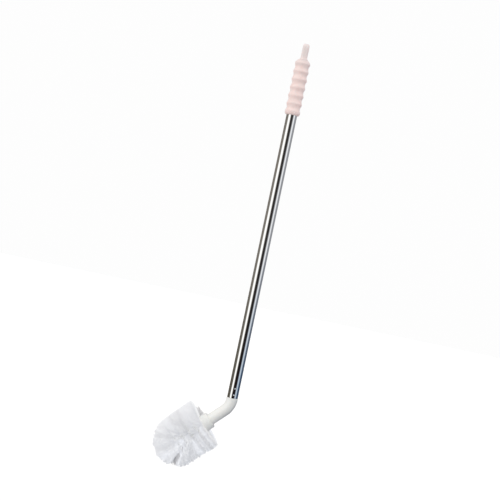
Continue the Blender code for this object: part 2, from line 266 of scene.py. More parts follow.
GRIP_BORE = 0.0083
GROOVE_RADIUS = 0.0100
RIB_COUNT = 7
RIB_HEIGHT = 0.0015
RIB_STEPS = 22  # rows of faces from one ring to the next
RIB_FULLNESS = 0.8  # below 1 the rings are wide and the grooves between them narrow
RIB_LEAN = 0.35  # above 0 a ring's lower side is the steeper one
FIRST_RIB = 0.0067  # crest, below the shoulder's top
LAST_RIB = 0.0045  # crest, above the sleeve's end
CROWN_RADIUS = 0.0050  # flat top, where the tab stands
CROWN_CURVE = 1.6  # 1 is a straight cone, 2 a quarter of an ellipse
CROWN_STEPS = 16
LIP_INSET = 0.0019
LIP_STEPS = 12
GRIP_COLUMNS = 128
TAB_THICKNESS = 0.0098
TAB_WIDTH = 0.0160
TAB_HEIGHT = 0.0237
TAB_ROUND = 0.0034
TAB_ROUND_STEPS = 10
TAB_COLUMNS = 64
TAB_FILLET = 0.0018  # where the tab runs out into the crown
FILLET_LEVELS = 10
FILLET_SINK = 1.4  # how far down the levels go, in fillets
TAB_ROOT = 0.0035  # of the tab inside the crown
EYE_RADIUS = 0.0034
EYE_ROUND = 0.0012
EYE_ROUND_STEPS = 8
EYE_COLUMNS = 64
EYE_CUTTER_REACH = 1.5  # half its length, as a share of half the tab's thickness
TOUCH_GAP = 0.0003  # between parts that would touch
WELD_DISTANCE = 3e-6  # closes the slivers that a cut leaves

GRIP_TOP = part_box("grip")[1].z
GRIP_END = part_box("grip")[0].z
CROWN_TOP = GRIP_TOP - TAB_HEIGHT
CREST_RADIUS = GROOVE_RADIUS + RIB_HEIGHT
FIRST_CREST = CROWN_TOP - FIRST_RIB
LAST_CREST = GRIP_END + LAST_RIB
BORE_END = TUBE_TOP + TOUCH_GAP


def grip_outline():
    """Crown, rings, lower lip and bore, from the axis at the top to the axis inside."""
    outline = [(0, CROWN_TOP)]
    for i in range(CROWN_STEPS + 1):
        share = math.sin(math.radians(90) * i / CROWN_STEPS)
        drop = (1 - share**CROWN_CURVE) ** (1 / CROWN_CURVE)
        radius = CROWN_RADIUS + (CREST_RADIUS - CROWN_RADIUS) * share
        outline.append((radius, FIRST_CREST + FIRST_RIB * drop))
    for i in range(1, (RIB_COUNT - 1) * RIB_STEPS):
        turn = math.tau * i / RIB_STEPS
        skewed = turn + RIB_LEAN * math.sin(turn)
        wave = ((1 + math.cos(skewed)) / 2) ** RIB_FULLNESS
        drop = (FIRST_CREST - LAST_CREST) * i / ((RIB_COUNT - 1) * RIB_STEPS)
        outline.append((GROOVE_RADIUS + RIB_HEIGHT * wave, FIRST_CREST - drop))
    for i in range(LIP_STEPS + 1):
        turn = math.radians(90) * i / LIP_STEPS
        radius = CREST_RADIUS - LIP_INSET * (1 - math.cos(turn))
        outline.append((radius, LAST_CREST - LAST_RIB * math.sin(turn)))
    outline += [(GRIP_BORE, GRIP_END), (GRIP_BORE, BORE_END), (0, BORE_END)]
    return outline


def make_tab_bm():
    """Upright tongue: a plate with a half-round top, its rim rounded and its foot flared."""
    bm = bmesh.new()
    root = CROWN_TOP - TAB_ROOT
    near_side = Matrix.Translation((-TAB_THICKNESS / 2, 0, 0))
    bmesh.ops.create_circle(
        bm,
        cap_ends=True,
        segments=TAB_COLUMNS,
        radius=TAB_WIDTH / 2,
        matrix=near_side @ Matrix.Rotation(math.radians(90), 4, "Y"),
    )
    for vert in bm.verts:
        if vert.co.z < -MERGE_DISTANCE:
            vert.co.z = root
            vert.co.y = math.copysign(TAB_WIDTH / 2, vert.co.y)
    bmesh.ops.remove_doubles(bm, verts=bm.verts, dist=MERGE_DISTANCE)
    face = bm.faces[:][0]
    grown = bmesh.ops.extrude_face_region(bm, geom=[face])["geom"]
    far_side = [item for item in grown if isinstance(item, bmesh.types.BMVert)]
    bmesh.ops.translate(bm, verts=far_side, vec=(TAB_THICKNESS, 0, 0))
    rim = [e for e in bm.edges if abs(e.verts[0].co.x - e.verts[1].co.x) < MERGE_DISTANCE]
    rim = [e for e in rim if max(v.co.z for v in e.verts) > root + MERGE_DISTANCE]
    bmesh.ops.bevel(
        bm,
        geom=rim,
        offset=TAB_ROUND,
        segments=TAB_ROUND_STEPS,
        profile=0.5,
        affect="EDGES",
        material=-1,
    )
    for i in range(FILLET_LEVELS + 1):
        height = CROWN_TOP + TAB_FILLET * (1 - FILLET_SINK * i / FILLET_LEVELS)
        geometry = bm.verts[:] + bm.edges[:] + bm.faces[:]
        bmesh.ops.bisect_plane(bm, geom=geometry, plane_co=(0, 0, height), plane_no=(0, 0, 1))
    for vert in bm.verts:
        depth = min(max((CROWN_TOP + TAB_FILLET - vert.co.z) / TAB_FILLET, 0), 1)
        reach = TAB_FILLET * (1 - math.sqrt(1 - depth * depth))
        vert.co.xy += vert.co.xy.normalized() * reach
    return bm


def make_eye_bm():
    """Cutter for the eye: a spindle whose ends flare in an arc, turned to lie along X."""
    face = TAB_THICKNESS / 2
    mouth = EYE_RADIUS + EYE_ROUND
    flare = arc((mouth, face - EYE_ROUND), EYE_ROUND, 180, 96, EYE_ROUND_STEPS)
    outline = [(0, face * EYE_CUTTER_REACH), (mouth, face * EYE_CUTTER_REACH), *reversed(flare)]
    outline += [(radius, -height) for radius, height in reversed(outline)]
    bm = turned(outline, EYE_COLUMNS)
    on_side = Matrix.Rotation(math.radians(90), 3, "Y")
    bmesh.ops.rotate(bm, verts=bm.verts, cent=(0, 0, 0), matrix=on_side)
    return bm


def cut_or_join(piece, tool, operation):
    """Apply a boolean to a piece's mesh, weld its slivers and remove the tool."""
    modifier = piece.modifiers.new("boolean", "BOOLEAN")
    modifier.object = tool
    modifier.operation = operation
    modifier.solver = "EXACT"
    graph = bpy.context.evaluated_depsgraph_get()
    mesh = bpy.data.meshes.new_from_object(piece.evaluated_get(graph))
    piece.modifiers.clear()
    bm = bmesh.new()
    bm.from_mesh(mesh)
    bmesh.ops.remove_doubles(bm, verts=bm.verts, dist=WELD_DISTANCE)
    bmesh.ops.dissolve_degenerate(bm, dist=WELD_DISTANCE, edges=bm.edges)
    bm.to_mesh(mesh)
    bm.free()
    piece.data = mesh
    mesh.shade_smooth()
    mesh.set_sharp_from_angle(angle=SHARP_ANGLE)
    bpy.data.objects.remove(tool)


def make_moulded_skin():
    """Moulded plastic: soft clouds of colour, and a fine orange peel for the bump."""
    group, given, result = new_group(
        "moulded_skin",
        [
            ("Colour", "Color", (0.8, 0.8, 0.8, 1.0)),
            ("Cloud Colour", "Color", (0.7, 0.7, 0.7, 1.0)),
            ("Cloud Scale", "Float", 60.0),
            ("Peel Scale", "Float", 1500.0),
        ],
        [("Colour", "Color"), ("Height", "Float")],
    )
    object_place = new_node(group, "TexCoord", {}).outputs["Object"]
    cloud = new_node(
        group,
        "TexNoise",
        {
            "Vector": object_place,
            "Scale": given.outputs["Cloud Scale"],
            "Detail": 4.0,
            "Distortion": 0.4,
        },
    )
    peel = new_node(
        group, "TexNoise", {"Vector": object_place, "Scale": given.outputs["Peel Scale"], "Detail": 2.0}
    )
    spread = new_node(
        group, "MapRange", {"Value": cloud.outputs[0], "From Min": 0.35, "From Max": 0.68}
    )
    colour = new_node(
        group,
        "Mix",
        {0: spread.outputs[0], 6: given.outputs["Colour"], 7: given.outputs["Cloud Colour"]},
        data_type="RGBA",
    )
    group.links.new(colour.outputs[2], result.inputs["Colour"])
    group.links.new(peel.outputs[0], result.inputs["Height"])
    return group


def make_soft_pink():
    """Pink see-through plastic, paler in the tab; its faint glow is painted light, standing in for light
    that comes through it and evening out the rings' shading.
    """
    material, tree, shader = new_material(
        "soft_pink_plastic",
        Subsurface_Weight=0.5,
        Subsurface_Radius=(1.0, 0.75, 0.70),
        Subsurface_Scale=0.005,
        IOR=1.47,
        Emission_Color=(0.92, 0.75, 0.72, 1.0),
        Emission_Strength=0.36,
    )
    skin = place_group(
        tree,
        moulded_skin,
        {
            "Colour": (0.655, 0.540, 0.515, 1.0),
            "Cloud Colour": (0.643, 0.522, 0.497, 1.0),
            "Cloud Scale": 90.0,
            "Peel Scale": 1300.0,
        },
    )
    marks = place_group(tree, handling_marks, {"Smear Scale": 70.0, "Rub Scale": 600.0, "Stretch": 0.6})
    place = new_node(tree, "TexCoord", {}).outputs["Object"]
    height = new_node(tree, "SeparateXYZ", {0: place}).outputs["Z"]
    upper = new_node(tree, "MapRange", {"Value": height, "From Min": -0.030, "From Max": -0.008})
    colour = new_node(
        tree,
        "Mix",
        {0: upper.outputs[0], 6: skin.outputs["Colour"], 7: (0.535, 0.505, 0.500, 1.0)},
        data_type="RGBA",
    )
    gloss = new_node(tree, "MapRange", {"Value": marks.outputs["Mask"], "To Min": 0.46, "To Max": 0.62})
    bump = new_node(
        tree, "Bump", {"Height": skin.outputs["Height"], "Strength": 0.25, "Distance": 0.00008}
    )
    tree.links.new(colour.outputs[2], shader.inputs["Base Color"])
    tree.links.new(gloss.outputs[0], shader.inputs["Roughness"])
    tree.links.new(bump.outputs[0], shader.inputs["Normal"])
    return material


moulded_skin = make_moulded_skin()
soft_pink = make_soft_pink()
grip = finished(turned(grip_outline(), GRIP_COLUMNS), "ribbed_grip", soft_pink)
cut_or_join(grip, finished(make_tab_bm(), "tab", soft_pink), "UNION")
cut_or_join(grip, finished(make_eye_bm(), "eye", soft_pink), "DIFFERENCE")
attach(grip, "handle")
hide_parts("grip")


# Elbow
# A hard white plastic moulding: a spigot in the tube, a bend through 45 degrees, a straight arm, and
# a plug that the brush head pushes on to. A fine parting line runs along both sides of the bend.

ELBOW_RADIUS = TUBE_RADIUS + 0.0004
SPIGOT_RADIUS = 0.0072
SPIGOT_LENGTH = 0.0220
SPIGOT_CHAMFER = 0.0008
PLUG_RADIUS = 0.0060
PLUG_LENGTH = 0.0240
PLUG_ROUND = 0.0010
PLUG_RINGS = 3
PLUG_RING_RISE = 0.00012
PLUG_RING_STEP = 0.0005  # between the rows of faces of a ring
PLUG_RING_SHAPE = ((-2, 0), (-1, 0.6), (0, 1), (1, 0.6), (2, 0))  # steps along, share of the rise
BEND_ANGLE = math.radians(45)
BEND_RADIUS = 0.0270
BEND_START = 0.0018
ARM_LENGTH = 0.0248
ARM_SEATED = 0.0017
ARM_LAST_ROW = 0.0002  # before the collar's back
LIP_ROUND = 0.0005
LIP_ROUND_STEPS = 5
SEAM_HEIGHT = 0.00007
SEAM_START = 0.001
SEAM_HALF_WIDTH = 0.01  # as a share of the elbow's radius
ELBOW_COLUMNS = 120
BEND_STEPS = 36
BEND_END = BEND_START + BEND_RADIUS * BEND_ANGLE
COLLAR_BACK = BEND_END + ARM_LENGTH
ARM_END = COLLAR_BACK + ARM_SEATED


def elbow_frame(run):
    """Matrix on the elbow's centre line, run metres past the tube's end, its Z along the line."""
    bend = min(max(run - BEND_START, 0) / BEND_RADIUS, BEND_ANGLE)
    before = min(run, BEND_START)
    after = max(run - BEND_END, 0)
    x = -BEND_RADIUS * (1 - math.cos(bend)) - after * math.sin(bend)
    z = TUBE_END - before - BEND_RADIUS * math.sin(bend) - after * math.cos(bend)
    return Matrix.Translation((x, 0, z)) @ Matrix.Rotation(math.pi + bend, 4, "Y")


def elbow_stations():
    """(radius, run) of each ring along the elbow, from the spigot's end to the plug's."""
    stations = [(SPIGOT_RADIUS - SPIGOT_CHAMFER, -SPIGOT_LENGTH)]
    stations.append((SPIGOT_RADIUS, -SPIGOT_LENGTH + SPIGOT_CHAMFER))
    stations += [(SPIGOT_RADIUS, -height) for height in reversed(crimp_rows())]
    stations.append((SPIGOT_RADIUS, TOUCH_GAP))
    lip = (ELBOW_RADIUS - LIP_ROUND, TOUCH_GAP + LIP_ROUND)
    stations += arc(lip, LIP_ROUND, -90, 0, LIP_ROUND_STEPS)
    for i in range(BEND_STEPS + 1):
        stations.append((ELBOW_RADIUS, BEND_START + (BEND_END - BEND_START) * i / BEND_STEPS))
    stations.append((ELBOW_RADIUS, COLLAR_BACK - ARM_LAST_ROW))
    lip = (ELBOW_RADIUS - LIP_ROUND, ARM_END - LIP_ROUND)
    stations += arc(lip, LIP_ROUND, 0, 90, LIP_ROUND_STEPS)
    stations.append((PLUG_RADIUS, ARM_END))
    pitch = PLUG_LENGTH / (PLUG_RINGS + 1)
    for i in range(1, PLUG_RINGS + 1):
        middle = ARM_END + pitch * i
        for along, rise in PLUG_RING_SHAPE:
            stations.append((PLUG_RADIUS + PLUG_RING_RISE * rise, middle + PLUG_RING_STEP * along))
    plug_end = (PLUG_RADIUS - PLUG_ROUND, ARM_END + PLUG_LENGTH - PLUG_ROUND)
    return stations + arc(plug_end, PLUG_ROUND, 0, 90, LIP_ROUND_STEPS)


def make_elbow_bm():
    """Push a ring along the stations, then close its ends."""
    bm = bmesh.new()
    bmesh.ops.create_circle(bm, cap_ends=True, segments=ELBOW_COLUMNS, radius=1)
    unit_ring = [vert.co.copy() for vert in bm.verts]
    ring = bm.verts[:]
    for number, (radius, run) in enumerate(elbow_stations()):
        if number:
            face = next(f for f in ring[0].link_faces if len(f.verts) == ELBOW_COLUMNS)
            grown = bmesh.ops.extrude_face_region(bm, geom=[face])["geom"]
            ring = [item for item in grown if isinstance(item, bmesh.types.BMVert)]
            if number > 1:
                bmesh.ops.delete(bm, geom=[face], context="FACES_ONLY")
        placed = elbow_frame(run)
        for vert, place in zip(ring, unit_ring):
            on_seam = abs(place.y) < SEAM_HALF_WIDTH and SEAM_START < run < COLLAR_BACK
            reach = radius + (SEAM_HEIGHT if on_seam else 0)
            vert.co = placed @ Vector((place.x * reach, place.y * reach, 0))
    press_crimps(bm)
    return bm


def make_white_moulding():
    """Hard warm-white plastic, used for the elbow and the brush core; its faint glow is painted light
    that brightens it.
    """
    material, tree, shader = new_material(
        "white_moulding",
        Subsurface_Weight=0.12,
        Subsurface_Radius=(1.0, 0.9, 0.8),
        Subsurface_Scale=0.0015,
        IOR=1.49,
        Emission_Color=(1.0, 1.0, 0.98, 1.0),
        Emission_Strength=0.05,
    )
    skin = place_group(
        tree,
        moulded_skin,
        {
            "Colour": (0.890, 0.890, 0.865, 1.0),
            "Cloud Colour": (0.865, 0.865, 0.840, 1.0),
            "Cloud Scale": 70.0,
            "Peel Scale": 1100.0,
        },
    )
    marks = place_group(
        tree, handling_marks, {"Smear Scale": 80.0, "Rub Scale": 1000.0, "Stretch": 0.8}
    )
    gloss = new_node(tree, "MapRange", {"Value": marks.outputs["Mask"], "To Min": 0.26, "To Max": 0.44})
    bump = new_node(
        tree, "Bump", {"Height": skin.outputs["Height"], "Strength": 0.12, "Distance": 0.00006}
    )
    tree.links.new(skin.outputs["Colour"], shader.inputs["Base Color"])
    tree.links.new(gloss.outputs[0], shader.inputs["Roughness"])
    tree.links.new(bump.outputs[0], shader.inputs["Normal"])
    return material


white_moulding = make_white_moulding()
elbow = finished(make_elbow_bm(), "elbow_moulding", white_moulding)
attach(elbow, "handle")
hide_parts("elbow")


# Brush core
# A hard white plastic moulding that the tufts are set in. Its open collar takes the elbow's arm with
# a thin ring of shadow round it, and its socket grips the plug. Every tuft has its own blind hole.

MOUTH_RADIUS = ELBOW_RADIUS + 0.0004
MOUTH_ROUND = 0.0011  # lead-in for the arm
COLLAR_RADIUS = MOUTH_RADIUS + 0.0035
COLLAR_LENGTH = 0.0098
COLLAR_ROUND = 0.0007  # at the back
COLLAR_FRONT_ROUND = 0.0003
COLLAR_ROUND_STEPS = 6
CORE_RADIUS = 0.0135
CORE_START = COLLAR_LENGTH + 0.0004
CORE_NOSE_STEPS = 16
CORE_COLUMNS = 128
SOCKET_RADIUS = PLUG_RADIUS + TOUCH_GAP
SOCKET_BOTTOM = ARM_SEATED + PLUG_LENGTH + 0.0008
HEAD_RADIUS = 0.0400
BARREL_LENGTH = 0.0462
HOLE_RADIUS = 0.0018
HOLE_DEPTH = 0.0042
HOLE_COLUMNS = 22
FIRST_HOLE = 0.0031  # ahead of the collar
HOLE_SPREAD = 0.0120  # between the barrel rings' holes
BARREL_RINGS = 4
BARREL_TUFTS = 9  # in each ring
NOSE_TUFTS = (9, 6, 4)  # in each ring, from the barrel to the tip
TIP_ANGLE = math.radians(15)  # half the spread of the tuft on the axis
NOSE_CENTRE = COLLAR_LENGTH + BARREL_LENGTH
HEAD_PLACE = elbow_frame(COLLAR_BACK)  # origin at the collar's back, Z towards the nose


def core_outline():
    """Socket, mouth, collar with rounded edges, carrier and round nose, as (radius, height)."""
    outline = [(0, SOCKET_BOTTOM), (SOCKET_RADIUS, SOCKET_BOTTOM)]
    outline += [(SOCKET_RADIUS, ARM_SEATED + TOUCH_GAP), (MOUTH_RADIUS, ARM_SEATED + TOUCH_GAP)]
    mouth = (MOUTH_RADIUS + MOUTH_ROUND, MOUTH_ROUND)
    outline += arc(mouth, MOUTH_ROUND, 180, 270, COLLAR_ROUND_STEPS)
    back = (COLLAR_RADIUS - COLLAR_ROUND, COLLAR_ROUND)
    outline += arc(back, COLLAR_ROUND, -90, 0, COLLAR_ROUND_STEPS)
    front = (COLLAR_RADIUS - COLLAR_FRONT_ROUND, COLLAR_LENGTH - COLLAR_FRONT_ROUND)
    outline += arc(front, COLLAR_FRONT_ROUND, 0, 70, COLLAR_ROUND_STEPS // 2)
    outline += [(CORE_RADIUS, CORE_START)]
    outline += arc((0, NOSE_CENTRE), CORE_RADIUS, 0, 86, CORE_NOSE_STEPS)
    return outline + [(0, NOSE_CENTRE + CORE_RADIUS)]


def meridian(radius, run):
    """Point, outward direction and forward direction on a barrel and round nose of this radius.

    run is the distance ahead of the collar on the barrel, and beyond the barrel's end the
    angle over the nose times the head's radius.
    """
    if run < BARREL_LENGTH:
        return Vector((radius, 0, COLLAR_LENGTH + run)), Vector((1, 0, 0)), Vector((0, 0, 1))
    over = (run - BARREL_LENGTH) / HEAD_RADIUS
    outward = Vector((math.cos(over), 0, math.sin(over)))
    forward = Vector((-math.sin(over), 0, math.cos(over)))
    return Vector((0, 0, NOSE_CENTRE)) + radius * outward, outward, forward


def hole_frame(run, turn):
    """Matrix on the core's skin at a hole, its Z pointing out of the hole."""
    point, outward, forward = meridian(CORE_RADIUS, run)
    side = outward.cross(forward)
    upright = Matrix((forward, side, outward)).transposed().to_4x4()
    return Matrix.Rotation(turn, 4, "Z") @ Matrix.Translation(point) @ upright


def tuft_cells():
    """Each tuft's name, its hole, and the middle and half sizes of its patch of the envelope."""
    pitch = BARREL_LENGTH / BARREL_RINGS
    rings = [
        (f"barrel_{i + 1}", BARREL_TUFTS, FIRST_HOLE + HOLE_SPREAD * i, pitch * (i + 0.5), pitch / 2)
        for i in range(BARREL_RINGS)
    ]
    band = HEAD_RADIUS * (math.radians(90) - TIP_ANGLE) / len(NOSE_TUFTS)
    for i, count in enumerate(NOSE_TUFTS):
        middle = BARREL_LENGTH + band * (i + 0.5)
        rings.append((f"nose_{i + 1}", count, middle, middle, band / 2))
    cells = []
    for index, (ring, count, hole, middle, reach) in enumerate(rings):
        for number in range(count):
            turn = math.tau * (number + index % 2 / 2) / count
            name = f"{ring}_{number + 1:02d}"
            cells.append((name, hole_frame(hole, turn), middle, reach, turn, math.pi / count))
    return cells


def make_holes_bm(cells):
    """Cutters for the tufts' blind holes, the one on the axis among them."""
    bm = bmesh.new()
    for hole in [cell[1] for cell in cells] + [tip_hole]:
        bmesh.ops.create_cone(
            bm,
            cap_ends=True,
            segments=HOLE_COLUMNS,
            radius1=HOLE_RADIUS,
            radius2=HOLE_RADIUS,
            depth=2 * HOLE_DEPTH,
            matrix=hole,
        )
    return bm


tuft_patches = tuft_cells()
tip_hole = Matrix.Translation((0, 0, NOSE_CENTRE + CORE_RADIUS))
core = finished(turned(core_outline(), CORE_COLUMNS), "core_moulding", white_moulding)
cut_or_join(core, finished(make_holes_bm(tuft_patches), "holes", white_moulding), "DIFFERENCE")
core.data.transform(HEAD_PLACE)
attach(core, "brush_head")
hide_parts("brush_core")


# Bristles
# Tufts of white plastic filament, folded in half and stapled into the core's holes, then trimmed to a
# barrel with a round nose. Filaments cling in locks, and the locks lie side by side in blades that
# fan out from the core: even on the upper side, ragged and parted on the lower one.

FILAMENT_RADIUS = 0.00022
FILAMENT_SIDES = 4
FILAMENT_STEPS = 4
LOCK_SPACING = 0.0024  # between the locks of a tuft, at the envelope
LOCK_FILAMENTS = 9
LOCK_SPREAD = 0.0006
LOCK_RAGGED = 0.0024  # how far short of its blade a lock may end
LOCK_RAGGED_POWER = 1.5  # above 1 most locks end near the longest
ROW_JITTER = 0.5  # of a lock's place, as a share of its spacing
COLUMN_JITTER = 0.6
EVEN_LENGTH = 0.0500  # of the upper side, along the fan, where the cut is even
EVEN_POWER = 3  # how fast the raggedness grows towards the nose
EVEN_LEAST = 0.1
PATCH_OVERLAP = 1.12  # neighbouring tufts mingle where they meet
CUT_MARGIN = 0.0003  # the longest filaments end this far inside the envelope
CUT_SCATTER = 0.0004
ROOT_SPREAD = 0.0014
ROOT_DEPTH = 0.0010
ROOT_MINGLE = 0.3  # how far roots stray from the order of their tips
LEAN_SCATTER = 0.02
BOW_REACH = 0.32  # of the straight part out of the hole, as a share of the length
FAN_START = 0.0240  # ahead of the collar; from here the blades turn forwards
FAN_END = 0.0900
BLADE_WIDTHS = (0.0014, 0.0044)
# Tone sets the filaments' colour and painted glow. Partly it differs at random from blade to blade, and
# partly it is painted shade: darker blades stand for shade between blades, and the upper side stops short
# of the whitest to offset the light falling on it.
BLADE_TONES = {"upper": (0.45, 0.73), "lower": (0.25, 1.0)}  # 1 is the whitest
BLADE_TONE_POWER = 0.4  # below 1 most blades are near the whitest
TONE_SCATTER = 0.1  # from one filament to the next
GROOVE_WIDTH = 0.0011  # between two blades
GROOVE_DEPTH = 0.0110
RAGGED = {"upper": 0.0034, "lower": 0.0030}  # how far short of the envelope a blade may end
RAGGED_POWER = 1.6
SIDE_WANDER = 0.004  # of the line between the upper and the lower side
SIDE_WAVES = 160  # radians in a metre
SEAM_FADE = 0.016  # grooves and short locks die out this close to that line
SEAM_RAGGED = 0.4  # share of the raggedness that is left there
# The blade in the notch is also painted the darkest tone: painted shade in the gap.
NOTCH = (0.0648, 0.0708)  # along the fan, where a lower blade is worn away in front
NOTCH_DEPTH = 0.0300
PARTING = math.radians(3)  # the lower blades are combed away from the front by this much
PARTING_WIDTH = math.radians(35)
BENT_BACK = (52, 76)  # bearings, in degrees, of a first-ring tuft that is bent backwards
BENT_REACH = 0.009  # how much of the fan the bent tuft takes
BENT_BY = 0.0030
# The tuft bent backwards is painted nearly the darkest tone: painted shade.
BENT_SHADE_TONE = 0.1  # nearly the darkest
BRISTLE_SEED = 41


def make_filament_mesh():
    """One filament of unit length along Z, made by pushing out a small ring's face."""
    bm = bmesh.new()
    bmesh.ops.create_circle(bm, cap_ends=True, segments=FILAMENT_SIDES, radius=FILAMENT_RADIUS)
    face = bm.faces[:][0]
    for step in range(FILAMENT_STEPS):
        grown = bmesh.ops.extrude_face_region(bm, geom=[face])["geom"]
        if step:
            bmesh.ops.delete(bm, geom=[face], context="FACES_ONLY")
        face = next(item for item in grown if isinstance(item, bmesh.types.BMFace))
        bmesh.ops.translate(bm, verts=face.verts, vec=(0, 0, 1 / FILAMENT_STEPS))
    bmesh.ops.recalc_face_normals(bm, faces=bm.faces)
    mesh = bpy.data.meshes.new("filament")
    bm.to_mesh(mesh)
    bm.free()
    return mesh


def lay_filament(bm, layers, root, bow, tip, tone):
    """Add one filament, bent from its root past a bow point to its tip."""
    first = len(bm.verts)
    bm.from_mesh(filament_mesh, face_normals=False, vertex_normals=False)
    bm.verts.ensure_lookup_table()
    side = (tip - root).orthogonal().normalized()
    across = (tip - root).normalized().cross(side)
    for vert in bm.verts[first:]:
        x, y, run = vert.co
        vert.co = root.lerp(bow, run).lerp(bow.lerp(tip, run), run) + x * side + y * across
        vert[layers["run"]] = run
        vert[layers["tone"]] = tone


def envelope_place(cell, along, around):
    """Where a share of the way along and around a tuft's patch is on the trimmed envelope."""
    _, _, middle, reach, turn, half = cell
    point, _, _ = meridian(HEAD_RADIUS, middle + reach * along)
    return Matrix.Rotation(turn + half * around, 3, "Z") @ point


def tip_place(along, around):
    """The same for the round tuft on the axis, whose patch is a cap."""
    over = TIP_ANGLE * min(math.hypot(along, around), 1)
    turn = math.atan2(around, along)
    rim = HEAD_RADIUS * math.sin(over)
    height = NOSE_CENTRE + HEAD_RADIUS * math.cos(over)
    return Vector((rim * math.cos(turn), rim * math.sin(turn), height))


def make_blades(side, draw):
    """Blades side by side along the fan, each as (start, end, shortfall, tone)."""
    made = []
    start = 0
    while start < FAN_END:
        end = start + draw.uniform(*BLADE_WIDTHS)
        darkest, whitest = BLADE_TONES[side]
        tone = darkest + (whitest - darkest) * draw.random() ** BLADE_TONE_POWER
        # The notch's blade is painted darkest, as shade in the gap.
        if side == "lower" and NOTCH[0] < end < NOTCH[1]:
            tone = 0
        made.append((start, end, RAGGED[side] * draw.random() ** RAGGED_POWER, tone))
        start = end
    return made


def fan_run(place):
    """Where along the fan a place on the envelope lies."""
    ahead = place.z - COLLAR_LENGTH - FAN_START
    if ahead < 0:
        return FAN_START + ahead
    return FAN_START + HEAD_RADIUS * math.atan2(ahead, abs(place.x))


def is_bent(place):
    """Whether a place on the envelope belongs to the tuft that is bent backwards."""
    bearing = math.degrees(math.atan2(place.y, place.x))
    return BENT_BACK[0] < bearing < BENT_BACK[1] and fan_run(place) < BENT_REACH


def combed(place):
    """Comb the lower front bristles away from the front, and bend one tuft backwards."""
    bearing = math.atan2(place.y, place.x)
    below = -math.radians(90) - bearing
    if 0 < below < math.radians(90):
        comb = PARTING * math.exp(-((below / PARTING_WIDTH) ** 2))
        place = Matrix.Rotation(-comb, 3, "Z") @ place
    if is_bent(place):
        place.z -= BENT_BY
    return place


def shortfall(place, blade, side, lock_short):
    """How far inside the envelope a filament of this blade ends."""
    start, end, short, _ = blade
    run = fan_run(place)
    short += LOCK_RAGGED * lock_short
    if side == "upper":
        short *= min(max(run / EVEN_LENGTH, EVEN_LEAST), 1) ** EVEN_POWER
    else:
        near_edge = 1 - min(run - start, end - run) / (GROOVE_WIDTH / 2)
        beside_seam = min(abs(place.x) / SEAM_FADE, 1)
        short *= SEAM_RAGGED + (1 - SEAM_RAGGED) * beside_seam
        short += GROOVE_DEPTH * max(near_edge, 0) * beside_seam
        if NOTCH[0] < run < NOTCH[1]:
            short += NOTCH_DEPTH * max(-place.y / HEAD_RADIUS, 0)
    return short


def make_tuft_bm(hole, patch, sizes, draw):
    """Fill a patch with locks; each filament runs from the hole to its place on the envelope."""
    bm = bmesh.new()
    layers = {name: bm.verts.layers.float.new(name) for name in ("run", "tone")}
    rows = max(2, round(sizes[0] / LOCK_SPACING))
    columns = max(2, round(sizes[1] / LOCK_SPACING))
    for row in range(rows):
        for column in range(columns):
            along = (2 * row + 1) / rows - 1 + draw.uniform(-ROW_JITTER, ROW_JITTER) / rows
            around = (2 * column + 1) / columns - 1
            around += draw.uniform(-COLUMN_JITTER, COLUMN_JITTER) / columns
            lock_short = draw.random() ** LOCK_RAGGED_POWER
            for _ in range(LOCK_FILAMENTS):
                u = along + draw.gauss(0, 1) * LOCK_SPREAD / sizes[0]
                v = around + draw.gauss(0, 1) * LOCK_SPREAD / sizes[1]
                end = patch(u * PATCH_OVERLAP, v * PATCH_OVERLAP)
                side = "upper" if end.x > SIDE_WANDER * math.sin(end.z * SIDE_WAVES) else "lower"
                run = min(max(fan_run(end), 0), FAN_END)
                blade = next(b for b in blades[side, end.y < 0] if run <= b[1])
                short = CUT_MARGIN + shortfall(end, blade, side, lock_short)
                # The bent tuft and the notch take their dark tones as painted shade.
                tone = BENT_SHADE_TONE if is_bent(end) else blade[3]
                tone += draw.uniform(-TONE_SCATTER, TONE_SCATTER)
                end = combed(end)
                u += draw.uniform(-ROOT_MINGLE, ROOT_MINGLE)
                v += draw.uniform(-ROOT_MINGLE, ROOT_MINGLE)
                root = hole @ Vector((ROOT_SPREAD * u, -ROOT_SPREAD * v, -ROOT_DEPTH))
                length = (end - root).length
                tip = root.lerp(end, 1 - (short + CUT_SCATTER * draw.random()) / length)
                lean = Vector((draw.gauss(0, LEAN_SCATTER), draw.gauss(0, LEAN_SCATTER), BOW_REACH))
                bow = root + hole.to_3x3() @ lean * length
                lay_filament(bm, layers, root, bow, tip, tone)
    bmesh.ops.transform(bm, matrix=HEAD_PLACE, verts=bm.verts)
    return bm


